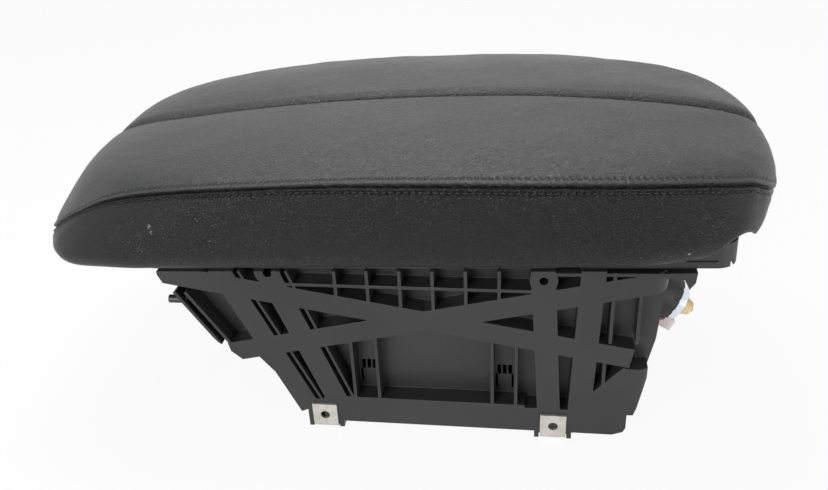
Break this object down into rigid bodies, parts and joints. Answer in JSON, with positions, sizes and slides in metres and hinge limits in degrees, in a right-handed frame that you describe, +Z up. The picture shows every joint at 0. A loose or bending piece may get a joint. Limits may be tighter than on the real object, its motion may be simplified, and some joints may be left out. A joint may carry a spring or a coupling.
{
  "type": "car centre armrest",
  "caption": "Centre console armrest: padded leather lids open outwards over a ribbed storage box that bolts to the console through side clips.",
  "frame": {"origin": "centre of the bounding box in plan, on the surface that the clip towers stand on", "axes": "+X towards the front of the car along the armrest, +Y to the car's left, +Z up"},
  "size_m": [0.44, 0.238, 0.1939],
  "materials": {
    "leather": "black grained leather with self-coloured topstitching",
    "box_plastic": "black moulded polypropylene with a slight sheen",
    "frame_plastic": "black moulded plastic",
    "lid_plastic": "fine grained black plastic",
    "core_plastic": "plain dark plastic",
    "button_plastic": "satin black plastic",
    "collar_plastic": "black plastic",
    "cream_plastic": "cream insulator",
    "pale_plastic": "translucent white plastic",
    "mat_rubber": "ribbed rubber",
    "buffer_rubber": "black rubber",
    "zinc_steel": "bright zinc plated steel",
    "clip_steel": "dull zinc flake coated spring steel",
    "socket_metal": "nickel plated sheet",
    "contact_brass": "brass",
    "arm_zinc": "grey coated die casting"
  },
  "bodies": {
    "box": {"storage_bin": "box_plastic", "bin_mat": "mat_rubber", "lid_frame": "frame_plastic", "frame_screws": "zinc_steel", "clip_nuts": "clip_steel", "hinge_pins": "zinc_steel", "lid_buffers": "buffer_rubber", "socket_barrel": "socket_metal", "socket_collar": "collar_plastic", "socket_base": "cream_plastic", "socket_centre_contact": "contact_brass", "socket_ring_nut": "collar_plastic", "socket_lamp_holder": "pale_plastic"},
    "right_lid": {"right_lid_base": "lid_plastic", "right_lid_core": "core_plastic", "right_cushion": "leather", "right_hinge_arms": "arm_zinc", "right_lid_screws": "zinc_steel", "right_lid_catch": "zinc_steel"},
    "left_lid": {"left_lid_base": "lid_plastic", "left_lid_core": "core_plastic", "left_cushion": "leather", "left_hinge_arms": "arm_zinc", "left_lid_screws": "zinc_steel", "left_lid_catch": "zinc_steel"},
    "right_button": {"right_release_button": "button_plastic"},
    "left_button": {"left_release_button": "button_plastic"}
  },
  "joints": [
    {"name": "right_lid_hinge", "type": "hinge", "parent": "box", "child": "right_lid", "pos_m": [-0.00013, -0.09, 0.123], "axis": [0.9995, 0, 0.0314], "range_deg": [0, 70]},
    {"name": "left_lid_hinge", "type": "hinge", "parent": "box", "child": "left_lid", "pos_m": [-0.00013, 0.09, 0.123], "axis": [-0.9995, 0, -0.0314], "range_deg": [0, 70]},
    {"name": "right_button_slide", "type": "slide", "parent": "box", "child": "right_button", "axis": [-0.9995, 0, -0.0314], "range_m": [0, 0.004], "stiffness_N_per_m": 400, "springref_m": -0.003},
    {"name": "left_button_slide", "type": "slide", "parent": "box", "child": "left_button", "axis": [-0.9995, 0, -0.0314], "range_m": [0, 0.004], "stiffness_N_per_m": 400, "springref_m": -0.003}
  ]
}
